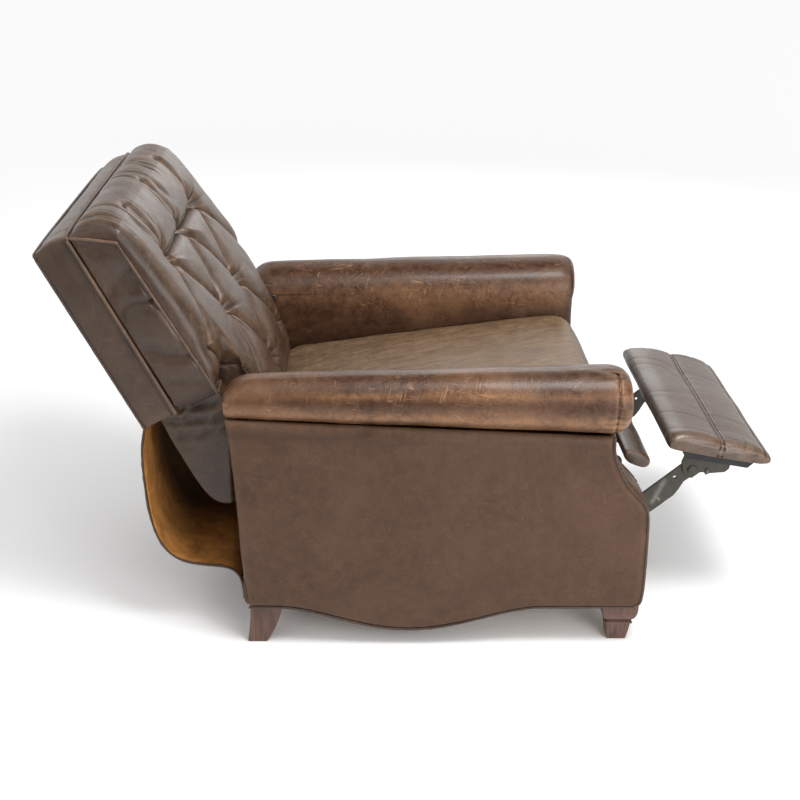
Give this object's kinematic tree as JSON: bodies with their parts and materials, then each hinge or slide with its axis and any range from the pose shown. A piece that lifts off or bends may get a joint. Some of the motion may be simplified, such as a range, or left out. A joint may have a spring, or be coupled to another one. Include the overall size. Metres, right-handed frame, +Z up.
{
  "type": "recliner armchair",
  "caption": "Push-back reclining armchair with rolled arms, a tilting tufted back, a sliding seat, a fold-down footrest with linkage, a filler pad and square and sabre feet.",
  "frame": {"origin": "on the floor under the middle of the open chair's overall box", "axes": "+Z up; the chair faces -Y; +X is the sitter's left"},
  "size_m": [0.8582, 1.4723, 0.887],
  "materials": {
    "leather": "waxed pull-up leather, dark brown, worn to reddish tan on edges and rolls, lightly scratched",
    "seat_leather": "the same leather on the seat, paler and satin where it is sat on",
    "hardwood": "raw hardwood frame",
    "foot_wood": "dark red-brown stain, satin",
    "board": "black-painted board",
    "steel": "olive grey painted mechanism steel, satin, scuffed",
    "nailhead": "antique dark brass",
    "webbing": "woven elastic seat webbing"
  },
  "bodies": {
    "base": {"side_panel_left": "leather", "side_panel_right": "leather", "inner_arm_panel_left": "leather", "inner_arm_panel_right": "leather", "arm_front_panel_left": "leather", "arm_front_panel_right": "leather", "nailhead_strip_left": "nailhead", "nailhead_strip_right": "nailhead", "arm_roll_left": "leather", "arm_roll_right": "leather", "front_post_left": "hardwood", "front_post_right": "hardwood", "rear_post_left": "hardwood", "rear_post_right": "hardwood", "side_rail_left": "hardwood", "side_rail_right": "hardwood", "front_foot_left": "foot_wood", "front_foot_right": "foot_wood", "rear_foot_left": "foot_wood", "rear_foot_right": "foot_wood", "base_track_left": "steel", "base_track_right": "steel", "back_pivot_bolt_left": "steel", "back_pivot_bolt_right": "steel", "front_rail": "hardwood", "rear_rail": "hardwood", "rear_flap": "leather"},
    "back": {"outer_back_shell": "leather", "back_cushion": "leather", "lower_back_cushion": "leather", "back_post_left": "hardwood", "back_post_right": "hardwood", "back_top_rail": "hardwood", "back_bottom_rail": "hardwood", "back_webbing": "webbing", "back_hinge_plate_left": "steel", "back_hinge_plate_right": "steel"},
    "seat": {"seat_cushion": "seat_leather", "seat_front_rail": "board", "seat_rear_rail": "board", "seat_side_rail_left": "hardwood", "seat_side_rail_right": "hardwood", "seat_webbing": "webbing", "seat_side_plate_left": "steel", "seat_side_plate_right": "steel", "rear_pivot_rod": "steel", "filler_pivot_rod": "steel"},
    "rear_links": {"rear_link_left": "steel", "rear_link_right": "steel", "link_rod": "steel"},
    "front_links": {"front_link_left": "steel", "front_link_right": "steel", "footrest_rivet_left": "steel", "footrest_rivet_right": "steel"},
    "footrest": {"footrest_pad": "leather", "footrest_board": "board", "footrest_bracket_left": "steel", "footrest_bracket_right": "steel"},
    "filler": {"filler_pad": "leather", "filler_hinge_leaf": "steel"}
  },
  "joints": [
    {"name": "back_recline", "type": "hinge", "parent": "base", "child": "back", "pos_m": [0, 0.337, 0.54], "axis": [1, 0, 0], "range_deg": [0, 16], "deforming": ["rear_flap"]},
    {"name": "seat_slide", "type": "slide", "parent": "base", "child": "seat", "axis": [0, 1, 0], "range_m": [0, 0.0355]},
    {"name": "footrest_fold", "type": "hinge", "parent": "seat", "child": "rear_links", "pos_m": [0, -0.293, 0.32], "axis": [1, 0, 0], "range_deg": [0, 60]},
    {"name": "front_link_pivot", "type": "hinge", "parent": "rear_links", "child": "front_links", "pos_m": [0, -0.434, 0.188], "axis": [1, 0, 0], "range_deg": [-54.4, 0]},
    {"name": "footrest_pivot", "type": "hinge", "parent": "front_links", "child": "footrest", "pos_m": [0, -0.583, 0.322], "axis": [1, 0, 0], "range_deg": [0, 74.1]},
    {"name": "filler_pivot", "type": "hinge", "parent": "seat", "child": "filler", "pos_m": [0, -0.418, 0.345], "axis": [1, 0, 0], "range_deg": [0, 73.2]}
  ],
  "couplings": [
    {"joint": "seat_slide", "follows": "back_recline", "m_per_rad": 0.1253},
    {"joint": "front_link_pivot", "follows": "footrest_fold", "ratio": -0.9017},
    {"joint": "footrest_pivot", "follows": "footrest_fold", "ratio": 1.2306},
    {"joint": "filler_pivot", "follows": "footrest_fold", "ratio": 1.2157}
  ]
}
